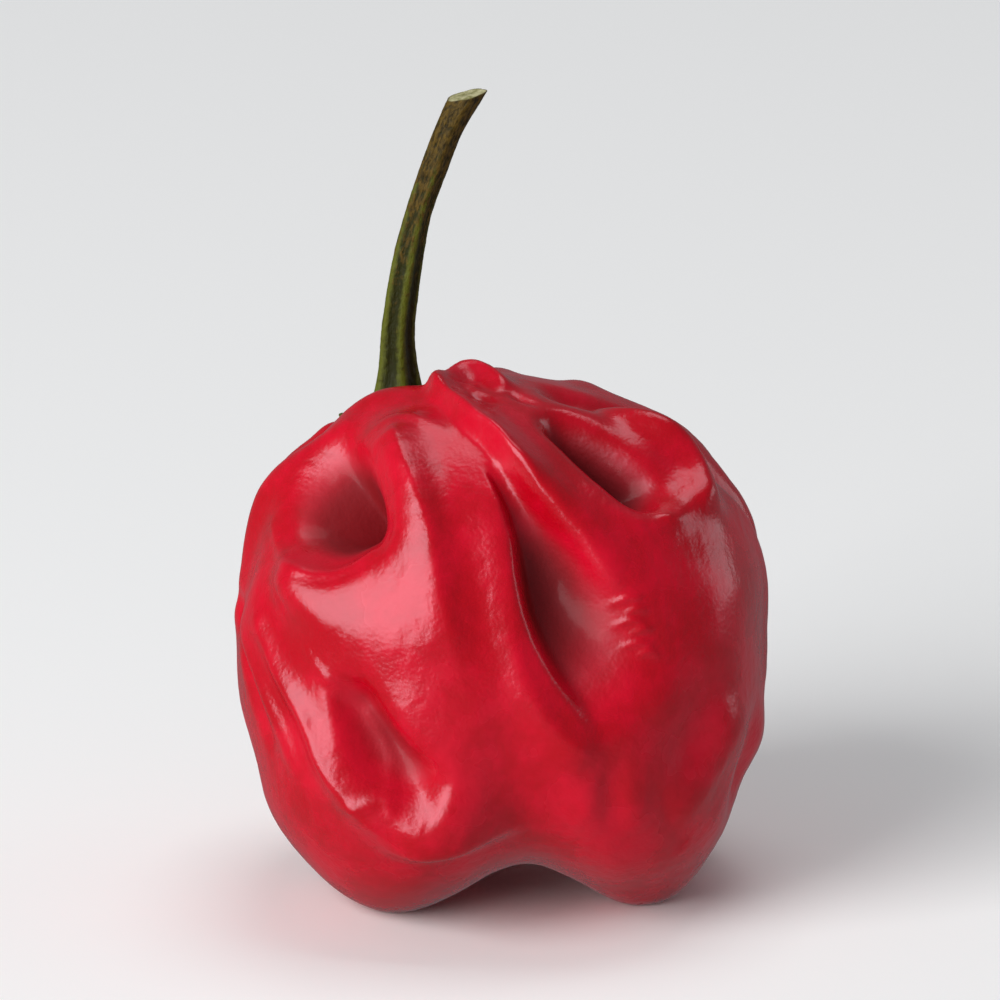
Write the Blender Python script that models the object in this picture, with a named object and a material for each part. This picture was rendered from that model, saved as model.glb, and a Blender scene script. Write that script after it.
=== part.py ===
"""A red habanero pepper as picked: a squat, deeply folded pod with its green calyx and stem.

Metres, +Z up. The pod stands on three low lobes, and the origin is at the bottom centre of the whole fruit.
Sizes below are in millimetres and are turned into metres where the meshes are made.
"""

import math
from collections import namedtuple

import bmesh
import bpy
import numpy as np

MM = 0.001

# The pod's upright axis, seen from the origin. All other places are measured from this axis.
POD_AXIS = np.array([-0.2, 0.4, 0.0])

# Pod: its middle, its reach towards the front and back, and how square its sections are
POD_CENTRE = np.array([0.0, 0.0, 19.5])
FRONT_REACH = 19.6
BACK_REACH = 19.2
SQUARENESS = 2.35
# Its underside stays this far below its middle, so that only the feet reach the ground
UNDERSIDE = 19.2
UNDERSIDE_SHARPNESS = 14
POD_GRID = 29

# The sides that folds are drawn on: compass angle and height of the eye, in degrees
FRONT = (0, 17)
RIGHT = (90, 15)
BACK = (180, 15)
LEFT = (270, 15)
UNDER = (0, -90)

# The pod's outline as the front side sees it: angle from the right, in degrees, and radius
OUTLINE = [
    (0, 19.9), (14, 20.5), (26, 20.7), (38, 20.1), (50, 20.1), (62, 19.5), (76, 19.4), (90, 19.6),
    (106, 19.8), (121, 20.2), (134, 20.3), (145, 20.8), (155, 20.2), (167, 19.6), (181, 19.9), (194, 20.3),
    (207, 20.8), (218, 22.0), (230, 22.6), (241, 22.8), (251, 22.1), (259, 20.3), (268, 18.4), (277, 18.0),
    (287, 19.4), (297, 21.7), (306, 22.6), (317, 22.5), (329, 21.5), (338, 21.4), (349, 20.2),
]

# One fold, ridge, dimple or swelling: where it runs on a side (right and up of the pod's middle), and its
# width and height at its start, middle and end. A negative height is pressed in. A fold that leans is
# steeper on the left of someone who walks along it, or on their right if the lean is negative. Its section
# is soft at a power of 2, a sharp crest or crease below that, and a socket with a clear rim above it.
Fold = namedtuple("Fold", "side path width height lean power")


def fold(side, path, width, height, lean=0.0, power=2.0):
    """A fold whose width and height may each be one number, or three along its path."""
    three = [value if isinstance(value, tuple) else (value,) * 3 for value in (width, height)]
    return Fold(side, path, *three, lean, power)


FRONT_FOLDS = [
    # the round hollow under the left shoulder, steep on its right, and the brow below it
    fold(FRONT, [(-12.6, 12.2), (-11.2, 8.9)], 3.4, -2.6, 0.3, 4.0),
    fold(FRONT, [(-12.0, 12.0), (-10.9, 9.6)], 3.0, -4.6, 0.35, 1.4),
    fold(FRONT, [(-16.8, 3.4), (-12.4, 1.6), (-8.2, 0.0), (-4.4, -2.2)], (2.4, 2.4, 2.8), (1.7, 0.7, 0.6)),
    # the ridge from the stem past the hollow, and the shallow valley beside it
    fold(FRONT, [(-7.6, 14.6), (-6.6, 11.0), (-5.7, 7.4), (-4.9, 3.8), (-3.8, 0.2)],
         (2.4, 3.4, 4.0), (1.3, 1.4, 1.2), 0.3, 1.4),
    fold(FRONT, [(-5.2, 13.6), (-4.0, 9.1), (-2.9, 4.5), (-1.7, -0.1)], 1.6, (-0.3, -0.35, -0.2)),
    # the long deep groove from the stem to the lower right, steep under its left lip
    fold(FRONT, [(-0.6, 10.6), (0.0, 7.0), (0.6, 3.4), (1.1, -0.6), (2.0, -3.8), (3.6, -6.6), (6.1, -8.8)],
         (1.0, 1.3, 1.4), (0.1, 0.35, 0.8), 0.2),
    fold(FRONT, [(-0.4, 11.8), (0.9, 9.8), (2.2, 6.8), (3.4, 2.2), (5.0, -1.6), (7.0, -4.8)],
         (0.8, 3.0, 3.2), (-0.4, -3.9, -1.3), -0.6, 3.2),
    fold(FRONT, [(-4.9, 18.2), (-2.4, 16.1), (-0.4, 14.5), (1.5, 12.3), (3.8, 9.6), (6.1, 7.2), (7.9, 4.7)],
         (0.8, 1.3, 1.5), (0.7, 1.0, 0.4), -0.1),
    # the long hollow under the right shoulder, with the rim round its outer end
    fold(FRONT, [(5.0, 15.6), (8.3, 13.4), (11.4, 11.2)], (1.5, 2.1, 2.4), (-3.2, -5.0, -4.6), -0.1),
    fold(FRONT, [(7.6, 18.0), (12.0, 15.8), (15.2, 12.4), (15.6, 9.6)], 1.8, (0.2, 0.8, 0.8)),
    fold(FRONT, [(15.4, 11.4), (13.4, 9.4), (10.2, 8.9)], 1.4, (0.3, 0.8, 0.3)),
    # the left foot: its outer ridges, the dent beside them, and the swelling above the foot
    fold(FRONT, [(-17.0, 1.2), (-15.0, -2.3), (-13.2, -5.8), (-11.0, -10.0), (-9.2, -13.5)],
         (1.3, 2.3, 2.2), (0.0, 1.9, 2.2)),
    fold(FRONT, [(-10.0, -4.6), (-7.4, -8.2), (-5.7, -11.6)], (0.7, 1.4, 2.2), (-0.8, -2.2, -2.0), 0.1, 2.6),
    fold(FRONT, [(-5.2, -15.4), (-1.6, -14.2)], 2.4, 1.7),
    fold(FRONT, [(-17.7, -1.0), (-15.9, -6.5), (-13.6, -11.0)], 1.1, (-0.1, -0.4, -0.2)),
    fold(FRONT, [(-18.8, 0.8), (-17.5, -4.6), (-15.4, -10.1)], 0.9, (0.1, 0.4, 0.2)),
    fold(FRONT, [(-19.3, 2.7), (-18.8, -1.9), (-17.2, -8.3)], 0.8, (-0.4, -0.8, -0.3)),
    # the right flank and foot, with the puckers above the blossom end
    fold(FRONT, [(16.8, 2.6), (16.4, -1.4)], 4.2, 0.6),
    fold(FRONT, [(15.4, -5.4), (14.0, -9.0)], 2.4, -0.7),
    fold(FRONT, [(17.6, -6.0), (16.0, -9.6), (13.8, -12.9)], 2.0, (0.3, 0.6, 0.4)),
    fold(FRONT, [(5.8, -10.2), (6.6, -12.2), (6.2, -14.2)], 1.3, (0.1, 0.4, 0.2)),
    fold(FRONT, [(8.6, -9.4), (8.2, -11.5), (8.4, -13.6)], 0.9, (-0.1, -0.3, -0.1)),
    fold(FRONT, [(10.2, -10.2), (10.0, -12.4), (10.4, -14.4)], 1.2, (0.1, 0.4, 0.2)),
    fold(FRONT, [(12.1, -11.5), (12.4, -13.4), (13.6, -15.8)], 0.8, (-0.1, -0.35, -0.2)),
    # the small knot of skin beside the stem, and the rim in front of the stem
    fold(FRONT, [(-4.7, 18.2), (-3.7, 19.5), (-1.8, 20.2), (-0.2, 19.6), (0.8, 18.4)], 0.9, (0.8, 1.3, 0.8)),
    fold(FRONT, [(-2.5, 18.6), (-1.2, 18.5)], 0.7, -0.8),
    fold(FRONT, [(-13.0, 15.4), (-9.6, 17.2), (-6.0, 18.0)], 1.8, (0.5, 1.2, 0.5)),
    fold(FRONT, [(-9.2, 15.2), (-6.8, 16.0), (-4.4, 15.2)], 0.8, (0.1, 0.4, 0.1)),
]

RIGHT_FOLDS = [
    fold(RIGHT, [(-1.0, 17.5), (1.5, 10.0), (3.5, 2.0), (3.0, -7.0)],
         (1.6, 2.4, 2.0), (-1.2, -2.8, -0.9), 0.3),
    fold(RIGHT, [(-4.0, 17.0), (-2.0, 9.0), (-0.5, 1.0), (-2.0, -8.0)], 1.6, (0.1, 0.5, 0.3)),
    fold(RIGHT, [(5.0, 15.0), (6.5, 8.0), (7.0, 0.0)], 2.0, (0.4, 1.0, 0.5)),
    fold(RIGHT, [(10.5, 11.0), (11.5, 7.5)], 2.6, -2.6, -0.3),
    fold(RIGHT, [(12.5, 0.0), (10.5, -6.0), (7.5, -11.0)], 1.5, (-0.4, -1.6, -0.6), 0.3),
    fold(RIGHT, [(-8.0, -10.0), (-6.0, -15.0)], 2.2, -0.9),
    fold(RIGHT, [(4.0, -18.0), (3.0, -14.0)], 3.0, -1.6),
]

BACK_FOLDS = [
    fold(BACK, [(4.6, 15.5), (3.4, 10.5), (0.4, 4.0), (-2.0, -4.0), (-2.6, -9.0)],
         (1.3, 2.4, 1.7), (-1.4, -3.4, -0.8), -0.4),
    fold(BACK, [(8.0, 14.0), (6.6, 9.5), (3.6, 3.0), (1.4, -5.0)], 1.5, (0.7, 1.2, 0.5)),
    fold(BACK, [(0.6, 15.5), (-0.4, 11.0), (-3.2, 4.5)], 1.7, (0.5, 1.0, 0.4)),
    fold(BACK, [(-8.6, 11.0), (-10.6, 7.4)], 2.9, -3.0, 0.3),
    fold(BACK, [(-6.0, 15.5), (-6.2, 9.0), (-8.0, 2.0)], 1.5, (0.4, 0.9, 0.4)),
    fold(BACK, [(13.5, 9.0), (12.5, 2.0), (10.0, -5.0)], (1.6, 2.0, 1.4), (-0.8, -2.2, -0.6), 0.3),
    fold(BACK, [(10.6, -8.0), (7.4, -12.5)], 1.8, -1.6),
    fold(BACK, [(-12.5, -4.0), (-9.0, -11.0)], 1.6, (-0.4, -1.5, -0.9)),
    fold(BACK, [(4.6, -8.0), (3.6, -14.0)], 2.8, 0.8),
]

LEFT_FOLDS = [
    fold(LEFT, [(-1.0, 14.5), (-2.5, 7.0), (-1.5, -1.0), (1.0, -8.0)],
         (1.5, 2.3, 1.7), (-1.0, -2.6, -0.8), 0.3),
    fold(LEFT, [(2.5, 13.5), (1.5, 5.0), (2.5, -3.0)], 1.5, (0.5, 1.0, 0.5)),
    fold(LEFT, [(-5.0, 15.0), (-6.2, 7.0), (-5.6, -2.0)], 1.7, (0.5, 0.9, 0.5)),
    fold(LEFT, [(-10.2, 8.6), (-10.6, 4.8)], 2.5, -2.2, -0.3),
    fold(LEFT, [(-11.5, -3.5), (-8.5, -10.0)], 1.4, (-0.4, -1.4, -0.6)),
    fold(LEFT, [(7.5, 1.5), (8.5, -4.0)], 2.6, 0.7),
    fold(LEFT, [(-1.0, -17.5), (0.5, -13.5)], 2.8, -1.5),
]

UNDER_FOLDS = [
    fold(UNDER, [(0.6, 0.6), (-6.0, -2.6), (-13.0, -5.6)], (2.6, 3.2, 3.0), (-1.4, -2.8, -1.8)),
    fold(UNDER, [(6.6, -1.4), (9.6, -7.0), (12.6, -12.6)], (2.4, 3.0, 3.0), (-1.4, -2.6, -1.6)),
    fold(UNDER, [(3.2, 4.6), (2.2, 12.6)], 2.8, -0.2),
    fold(UNDER, [(-0.6, 3.6), (-3.6, 5.6)], 1.4, -0.6),
    fold(UNDER, [(7.4, 3.0), (10.0, 4.6)], 1.4, -0.6),
]

# The feet that the pod stands on: where each meets the ground, and how wide it swells
FEET = [(-8.2, -7.2), (10.4, -4.4), (0.6, 10.4)]
FOOT_WIDTH = 5.0
# How far each foot would reach below the ground, which cuts it to a small flat spot
FOOT_FLAT = 0.25

# Blossom end: a puckered hollow under the pod
BLOSSOM_END = (3.6, -1.6)
BLOSSOM_HOLLOW_WIDTH = 4.4
BLOSSOM_HOLLOW_DEPTH = 3.0

# Stem seat: the hollow between the shoulders that the calyx lies in, with short pleats round it
SEAT = np.array([-8.0, 7.0, 36.0])
SEAT_WIDTH = 4.0
SEAT_DEPTH = 4.0
PUCKERS = 9
PUCKER_HEIGHT = 0.3
PUCKER_RING = 5.2
PUCKER_LENGTH = 1.7
PUCKER_DRIFT = 0.9

# Calyx: a low five-toothed cap, thickest where the stem leaves it
CALYX_GAP = 0.3
CALYX_RADIUS = 3.9
CALYX_TEETH = 5
CALYX_TOOTH = 0.8
CALYX_UNEVEN = 0.25
CALYX_RIM = 0.5
# Its rings: shares of its radius below, then shares of its radius and rim heights above
CALYX_UNDER = (0.25, 0.5, 0.75, 0.94)
CALYX_EDGE = 0.4
CALYX_OVER = [(0.96, 1.0), (0.8, 1.5), (0.64, 2.0), (0.5, 2.7)]

# The stem's centre line from the calyx up: right, back and height above the ground, with its radius there
STEM_LINE = [
    ((-7.8, 7.0, 36.4), 1.8),
    ((-7.8, 7.0, 38.6), 1.38),
    ((-7.75, 6.9, 41.6), 1.2),
    ((-7.1, 6.7, 46.4), 1.12),
    ((-6.2, 6.5, 50.6), 0.95),
    ((-5.1, 6.3, 54.0), 0.93),
    ((-3.85, 6.1, 57.4), 0.97),
    ((-2.5, 6.0, 60.0), 1.15),
]
STEM_SIDES = 40
STEM_STEP = 1.3
# Its ribs are deeper at the calyx than at the cut, and its last part slants into the cut
STEM_RIBS = 5
STEM_RIB_DEPTHS = (0.14, 0.06)
STEM_TWIST = 0.5
CUT_START = 0.88
CUT_SLANT = 0.9

# A fold is a row of swellings this share of its width apart, and it has faded out at this many of its widths
FOLD_STEP = 0.5
FADED = 3.0
# The pod's faces are too large for its finest folds, so each fold is spread out by this much
FACE_BLUR = 1.25
# Steps of a smooth path between two of its marks
SPAN_STEPS = 8


def unit(vectors):
    return vectors / np.linalg.norm(vectors, axis=-1, keepdims=True)


def axes_of(side):
    """The right, up and towards-the-eye directions of a side."""
    compass, height = (math.radians(angle) for angle in side)
    right = np.array([math.cos(compass), math.sin(compass), 0.0])
    level = np.array([math.sin(compass), -math.cos(compass), 0.0])
    eye = math.cos(height) * level + math.sin(height) * np.array([0.0, 0.0, 1.0])
    return right, np.cross(eye, right), eye


def outline_radius(angles):
    """The outline's radius at any angle, as a smooth closed curve through its points."""
    known = np.array(OUTLINE, float)
    at = np.concatenate([known[-2:, 0] - 360, known[:, 0], known[:3, 0] + 360])
    radius = np.concatenate([known[-2:, 1], known[:, 1], known[:3, 1]])
    slope = np.gradient(radius, at)
    angles = np.mod(angles - known[0, 0], 360) + known[0, 0]
    i = np.clip(np.searchsorted(at, angles, side="right") - 1, 0, len(at) - 2)
    step = at[i + 1] - at[i]
    t = (angles - at[i]) / step
    return (
        (2 * t**3 - 3 * t**2 + 1) * radius[i]
        + (t**3 - 2 * t**2 + t) * step * slope[i]
        + (3 * t**2 - 2 * t**3) * radius[i + 1]
        + (t**3 - t**2) * step * slope[i + 1]
    )


def plain_radius(directions):
    """The pod's radius before any fold: its front outline, rounded off towards the front and back."""
    right, up, eye = axes_of(FRONT)
    across, over, towards = directions @ right, directions @ up, directions @ eye
    outline = outline_radius(np.degrees(np.arctan2(over, across)))
    reach = np.where(towards > 0, FRONT_REACH, BACK_REACH)
    flat = np.hypot(across, over)
    radius = ((flat / outline) ** SQUARENESS + (np.abs(towards) / reach) ** SQUARENESS) ** (-1 / SQUARENESS)
    lowered = np.maximum(-directions[:, 2], 0.0) * radius / UNDERSIDE
    return radius * (1 + lowered**UNDERSIDE_SHARPNESS) ** (-1 / UNDERSIDE_SHARPNESS)


def on_plain_pod(side, marks):
    """Marks drawn on a side (right, up), set on the plain pod's surface. One past the edge is put on it."""
    right, up, eye = axes_of(side)
    flat = np.outer([m[0] for m in marks], right) + np.outer([m[1] for m in marks], up)
    reach = np.linalg.norm(flat, axis=1)
    depth = np.full(len(flat), FRONT_REACH)
    for _ in range(12):
        spot = flat + depth[:, None] * eye
        radius = plain_radius(unit(spot))
        depth = np.sqrt(np.maximum(radius**2 - reach**2, 0.0))
    spot = flat + depth[:, None] * eye
    return unit(spot) * plain_radius(unit(spot))[:, None]


def smooth_path(marks, step):
    """A curve through the marks, as even steps no longer than the given one."""
    ends = np.vstack([2 * marks[0] - marks[1], marks, 2 * marks[-1] - marks[-2]])
    fine = []
    for a, b, c, d in zip(ends, ends[1:], ends[2:], ends[3:]):
        for t in np.linspace(0, 1, SPAN_STEPS, endpoint=False):
            bend = (2 * a - 5 * b + 4 * c - d) * t**2 + (3 * b - a - 3 * c + d) * t**3
            fine.append(0.5 * (2 * b + (c - a) * t + bend))
    fine = np.array([*fine, marks[-1]])
    lengths = np.concatenate([[0.0], np.cumsum(np.linalg.norm(np.diff(fine, axis=0), axis=1))])
    at = np.linspace(0, lengths[-1], math.ceil(lengths[-1] / step) + 1)
    return np.stack([np.interp(at, lengths, column) for column in fine.T], axis=1)


def fold_height(spots, one):
    """How far one fold raises or presses in each spot of the plain pod: a row of swellings along its path."""
    path = smooth_path(on_plain_pod(one.side, one.path), min(one.width) * FOLD_STEP)
    share = np.linspace(0, 1, len(path))
    plain_width = np.interp(share, [0, 0.5, 1], one.width)
    width = np.hypot(plain_width, FACE_BLUR)
    crowd = np.exp(-np.sum((path[:, None] - path) ** 2, axis=2) / width**2).sum(axis=1)
    height = np.interp(share, [0, 0.5, 1], one.height) * plain_width / width / crowd
    rightward = np.cross(unit(np.gradient(path, axis=0)), unit(path))
    middle = path.mean(axis=0)
    reach = np.linalg.norm(path - middle, axis=1).max() + FADED * width.max() * (1 + abs(one.lean))
    near = np.flatnonzero(np.linalg.norm(spots - middle, axis=1) < reach)
    raised = np.zeros(len(spots))
    for centre, right, tall, wide, plain in zip(path, rightward, height, width, plain_width):
        gap = spots[near] - centre
        across = gap @ right
        leaning = np.hypot(plain * np.where(across > 0, 1 + one.lean, 1 - one.lean), FACE_BLUR)
        along = np.maximum(np.sum(gap**2, axis=1) - across**2, 0) / wide**2
        raised[near] += tall * np.exp(-(along ** (one.power / 2)) - (np.abs(across) / leaning) ** one.power)
    return raised


def swelling(spots, centre, width, height):
    return height * np.exp(-np.sum((spots - centre) ** 2, axis=1) / width**2)


def seat_axes():
    """The seat's own directions: out of the pod, and two across it."""
    out = unit(SEAT - POD_CENTRE)
    first = unit(np.cross([0.0, 1.0, 0.0], out))
    return out, first, np.cross(out, first)


def pucker_height(spots):
    """Short pleats that run out from under the calyx."""
    out, first, second = seat_axes()
    across = spots - plain_seat()
    distance = np.linalg.norm(across, axis=1)
    angle = np.arctan2(across @ second, across @ first)
    band = np.exp(-(((distance - PUCKER_RING) / PUCKER_LENGTH) ** 2))
    return PUCKER_HEIGHT * band * np.cos(PUCKERS * angle + PUCKER_DRIFT * np.sin(2 * angle))


def plain_seat():
    out = unit(SEAT - POD_CENTRE)
    return out * plain_radius(out[None])[0]


def plain_ground(x, y):
    """The spot of the plain pod on the way from its middle to a point of the ground."""
    way = unit(np.array([x, y, -POD_CENTRE[2]]))
    return way * plain_radius(way[None])[0]


def folded_radius(directions):
    """The pod's radius with all its folds, before its feet."""
    radius = plain_radius(directions)
    spots = directions * radius[:, None]
    for one in FRONT_FOLDS + RIGHT_FOLDS + BACK_FOLDS + LEFT_FOLDS + UNDER_FOLDS:
        radius = radius + fold_height(spots, one)
    radius = radius + swelling(spots, plain_ground(*BLOSSOM_END), BLOSSOM_HOLLOW_WIDTH, -BLOSSOM_HOLLOW_DEPTH)
    radius = radius + swelling(spots, plain_seat(), SEAT_WIDTH, -SEAT_DEPTH)
    return radius + pucker_height(spots)


def pod_radius(directions):
    """The folded pod's radius in each direction, with each foot swollen until it reaches the ground."""
    radius = folded_radius(directions)
    spots = directions * plain_radius(directions)[:, None]
    to_ground = np.array([[x, y, -POD_CENTRE[2]] for x, y in FEET])
    reach = np.linalg.norm(to_ground, axis=1) + FOOT_FLAT
    for foot, swell in zip(FEET, reach - folded_radius(unit(to_ground))):
        radius = radius + swelling(spots, plain_ground(*foot), FOOT_WIDTH, swell)
    return radius


def pod_spots(directions):
    """The folded pod's surface in each direction, cut flat where it stands on the ground."""
    spots = POD_CENTRE + directions * pod_radius(directions)[:, None]
    spots[:, 2] = np.maximum(spots[:, 2], 0.0)
    return spots


def even_ball(grid):
    """A ball made from a cube's six square grids, with faces of nearly one size."""
    bm = bmesh.new()
    bmesh.ops.create_cube(bm, size=2)
    bmesh.ops.subdivide_edges(bm, edges=bm.edges[:], cuts=grid - 1, use_grid_fill=True)
    for vert in bm.verts:
        vert.co = [math.tan(c * math.pi / 4) for c in vert.co]
        vert.co.normalize()
    return bm


def finish_object(bm, name, colour, roughness):
    """A named, smooth object with its own material, from a mesh in millimetres from the pod's axis."""
    for vert in bm.verts:
        vert.co = (np.array(vert.co) + POD_AXIS) * MM
    bmesh.ops.recalc_face_normals(bm, faces=bm.faces)
    mesh = bpy.data.meshes.new(name)
    bm.to_mesh(mesh)
    bm.free()
    mesh.shade_smooth()
    material = bpy.data.materials.new(name)
    material.use_nodes = True
    shader = material.node_tree.nodes["Principled BSDF"]
    shader.inputs["Base Color"].default_value = (*colour, 1)
    shader.inputs["Roughness"].default_value = roughness
    shader.inputs["Metallic"].default_value = 0
    mesh.materials.append(material)
    obj = bpy.data.objects.new(name, mesh)
    bpy.data.collections["habanero_pepper"].objects.link(obj)
    return obj


def make_pod():
    bm = even_ball(POD_GRID)
    for vert, spot in zip(bm.verts, pod_spots(np.array([v.co for v in bm.verts]))):
        vert.co = spot
    bmesh.ops.triangulate(bm, faces=bm.faces[:], quad_method="SHORT_EDGE")
    return finish_object(bm, "pod", (0.55, 0.01, 0.03), 0.28)


def calyx_spots(distance, angles, lift):
    """Spots at a distance from the seat's middle, lifted off the pod's skin."""
    out, first, second = seat_axes()
    flat = np.outer(np.cos(angles) * distance, first) + np.outer(np.sin(angles) * distance, second)
    ways = unit(plain_seat() + flat)
    return pod_spots(ways) + ways * lift


def calyx_rim(angles):
    """The calyx's edge: low, blunt teeth, not quite alike."""
    teeth = np.abs(np.cos(CALYX_TEETH * angles / 2)) ** 1.5
    return CALYX_RADIUS + CALYX_TOOTH * teeth + CALYX_UNEVEN * np.sin(2 * angles)


def calyx_rings(angles):
    """Rings from under the calyx's middle, round its edge and up to the foot of the stem."""
    rim = calyx_rim(angles)
    under = [calyx_spots(rim * share, angles, CALYX_GAP) for share in CALYX_UNDER]
    edge = calyx_spots(rim, angles, CALYX_GAP + CALYX_RIM * CALYX_EDGE)
    over = [calyx_spots(rim * share, angles, CALYX_GAP + CALYX_RIM * tall) for share, tall in CALYX_OVER]
    return [*under, edge, *over]


def stem_rings(angles):
    """Rings up the stem: ribbed where it leaves the calyx, nearly round higher up, and cut on a slant."""
    line = smooth_path(np.array([(*mark, radius) for mark, radius in STEM_LINE]), STEM_STEP)
    along = unit(np.gradient(line[:, :3], axis=0))
    rings = []
    for share, spot, way in zip(np.linspace(0, 1, len(line)), line, along):
        first = unit(np.cross([0.0, 1.0, 0.0], way))
        second = np.cross(way, first)
        depth = np.interp(share, [0, 1], STEM_RIB_DEPTHS)
        ribbed = spot[3] * (1 + depth * np.cos(STEM_RIBS * angles + STEM_TWIST * share))
        ring = spot[:3] + np.outer(np.cos(angles) * ribbed, first) + np.outer(np.sin(angles) * ribbed, second)
        slant = CUT_SLANT * max(0.0, share - CUT_START) / (1 - CUT_START)
        rings.append(ring + np.outer(np.cos(angles) * ribbed * slant, way))
    return rings


def loft(bm, rings, start, end):
    """A closed skin over the rings, with a point at each end."""
    rows = [[bm.verts.new(spot) for spot in ring] for ring in rings]
    tips = bm.verts.new(start), bm.verts.new(end)
    sides = len(rows[0])
    for j in range(sides):
        k = (j + 1) % sides
        bm.faces.new((tips[0], rows[0][k], rows[0][j]))
        bm.faces.new((tips[1], rows[-1][j], rows[-1][k]))
        for low, high in zip(rows, rows[1:]):
            bm.faces.new((low[j], low[k], high[k], high[j]))


def make_calyx_and_stem():
    angles = np.linspace(0, 2 * math.pi, STEM_SIDES, endpoint=False)
    rings = calyx_rings(angles) + stem_rings(angles)
    bm = bmesh.new()
    loft(bm, rings, rings[0].mean(axis=0), rings[-1].mean(axis=0))
    return finish_object(bm, "calyx_stem", (0.09, 0.13, 0.02), 0.5)


def main():
    for obj in list(bpy.data.objects):
        bpy.data.objects.remove(obj)
    bpy.context.scene.collection.children.link(bpy.data.collections.new("habanero_pepper"))
    make_pod()
    make_calyx_and_stem()


main()
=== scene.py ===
# %% [markdown]
# # A red habanero pepper
#
# A ripe habanero is one thin-walled, glossy berry. Its wall grows faster than the ribs inside it, so it
# buckles into deep folds and hollows. The green calyx sits in a dip at the top and runs on into a dry,
# ribbed stem. The solid model already holds both pieces at their real size. This script gives each of
# them its fine shape and its finish, and lights them softly.

import math
from collections import namedtuple

import bmesh
import bpy
import numpy as np
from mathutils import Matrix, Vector


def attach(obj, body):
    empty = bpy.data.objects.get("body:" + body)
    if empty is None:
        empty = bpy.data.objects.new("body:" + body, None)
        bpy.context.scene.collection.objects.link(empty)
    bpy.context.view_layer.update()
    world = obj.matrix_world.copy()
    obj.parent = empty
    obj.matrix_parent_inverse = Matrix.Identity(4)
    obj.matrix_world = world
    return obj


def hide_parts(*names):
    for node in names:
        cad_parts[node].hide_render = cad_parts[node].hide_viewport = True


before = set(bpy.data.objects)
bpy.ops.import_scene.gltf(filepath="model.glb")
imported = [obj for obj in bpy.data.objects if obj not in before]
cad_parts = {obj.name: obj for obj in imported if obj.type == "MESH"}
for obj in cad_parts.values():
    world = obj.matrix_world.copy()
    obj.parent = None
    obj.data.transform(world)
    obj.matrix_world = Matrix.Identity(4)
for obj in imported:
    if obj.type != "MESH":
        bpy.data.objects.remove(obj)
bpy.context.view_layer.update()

MM = 0.001

# %% [markdown]
# ## The camera
#
# The photograph looks a little down on the pepper, with almost no perspective, so the camera stands well
# back with a long lens. Its frame is a square of the photograph round this one pepper. The scale comes
# from the pod, which is 40 mm wide and 126 pixels across.

# %% Camera
# where the pod's axis stands, and its middle above that, in millimetres
POD_AXIS = np.array([-0.2, 0.4, 0.0])
POD_CENTRE = np.array([0.0, 0.0, 19.5])
CAMERA_HEIGHT = math.radians(17.3)
CAMERA_DISTANCE = 1.5
CAMERA_RANGE = 50
PIXEL = 0.32 * MM
POD_MIDDLE_ROW = 749.2
CROP_MIDDLE_ROW = 718
CROP_SIDE = 236

forward = Vector((0, math.cos(CAMERA_HEIGHT), -math.sin(CAMERA_HEIGHT)))
upward = Vector((0, math.sin(CAMERA_HEIGHT), math.cos(CAMERA_HEIGHT)))
pod_middle = Vector((POD_AXIS + POD_CENTRE) * MM)
aim = pod_middle + upward * (POD_MIDDLE_ROW - CROP_MIDDLE_ROW) * PIXEL

lens = bpy.data.cameras.new("camera")
lens.lens = lens.sensor_width * CAMERA_DISTANCE / (CROP_SIDE * PIXEL)
lens.clip_end = CAMERA_RANGE
camera = bpy.data.objects.new("camera", lens)
bpy.context.scene.collection.objects.link(camera)
camera.location = aim - forward * CAMERA_DISTANCE
camera.rotation_euler = forward.to_track_quat("-Z", "Y").to_euler()
bpy.context.scene.camera = camera
print("camera looks down", round(math.degrees(CAMERA_HEIGHT), 1), "degrees, lens", round(lens.lens), "mm")

# %% [markdown]
# ## Light and floor
#
# A glossy fruit shows its shape by what it mirrors. One large soft window from the left draws the long
# pale highlights on the folds, a weaker one far to the right lights the right flank, and a ceiling light
# and a dim even sky keep the shadows open. The floor gives shadows and bounced light, but the skin
# doesn't mirror it, because its grey image would lie over every fold. Plain colour handling keeps the red
# as deep as it is, where a film curve would pale it.

# %% Light and floor
SKY_COLOUR = (0.9, 0.94, 1.0, 1)
SKY_STRENGTH = 0.2
FLOOR_RADIUS = 8.0
FLOOR_SIDES = 96
FLOOR_COLOUR = (0.93, 0.93, 0.925, 1)
FLOOR_ROUGHNESS = 0.85
FLOOR_SHINE = 0.2
# name, place, width and height in metres, and power
SOFTBOXES = [
    ("window_left", (-0.62, -0.58, 0.34), 0.62, 0.95, 13.0),
    ("window_right", (0.92, 0.3, 0.2), 0.6, 0.4, 1.3),
    ("ceiling", (0.1, 0.25, 1.1), 0.6, 0.6, 3.5),
]


def softbox(name, place, width, height, power):
    """A large soft light, turned towards the pod."""
    light = bpy.data.lights.new(name, "AREA")
    light.shape = "RECTANGLE"
    light.size = width
    light.size_y = height
    light.energy = power
    box = bpy.data.objects.new(name, light)
    bpy.context.scene.collection.objects.link(box)
    box.location = place
    box.rotation_euler = (pod_middle - Vector(place)).to_track_quat("-Z", "Y").to_euler()
    box.visible_camera = False


for light_and_sizes in SOFTBOXES:
    softbox(*light_and_sizes)

world = bpy.data.worlds.new("studio")
world.use_nodes = True
sky = world.node_tree.nodes["Background"]
sky.inputs["Color"].default_value = SKY_COLOUR
sky.inputs["Strength"].default_value = SKY_STRENGTH
bpy.context.scene.world = world
bpy.context.scene.view_settings.view_transform = "Standard"

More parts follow.
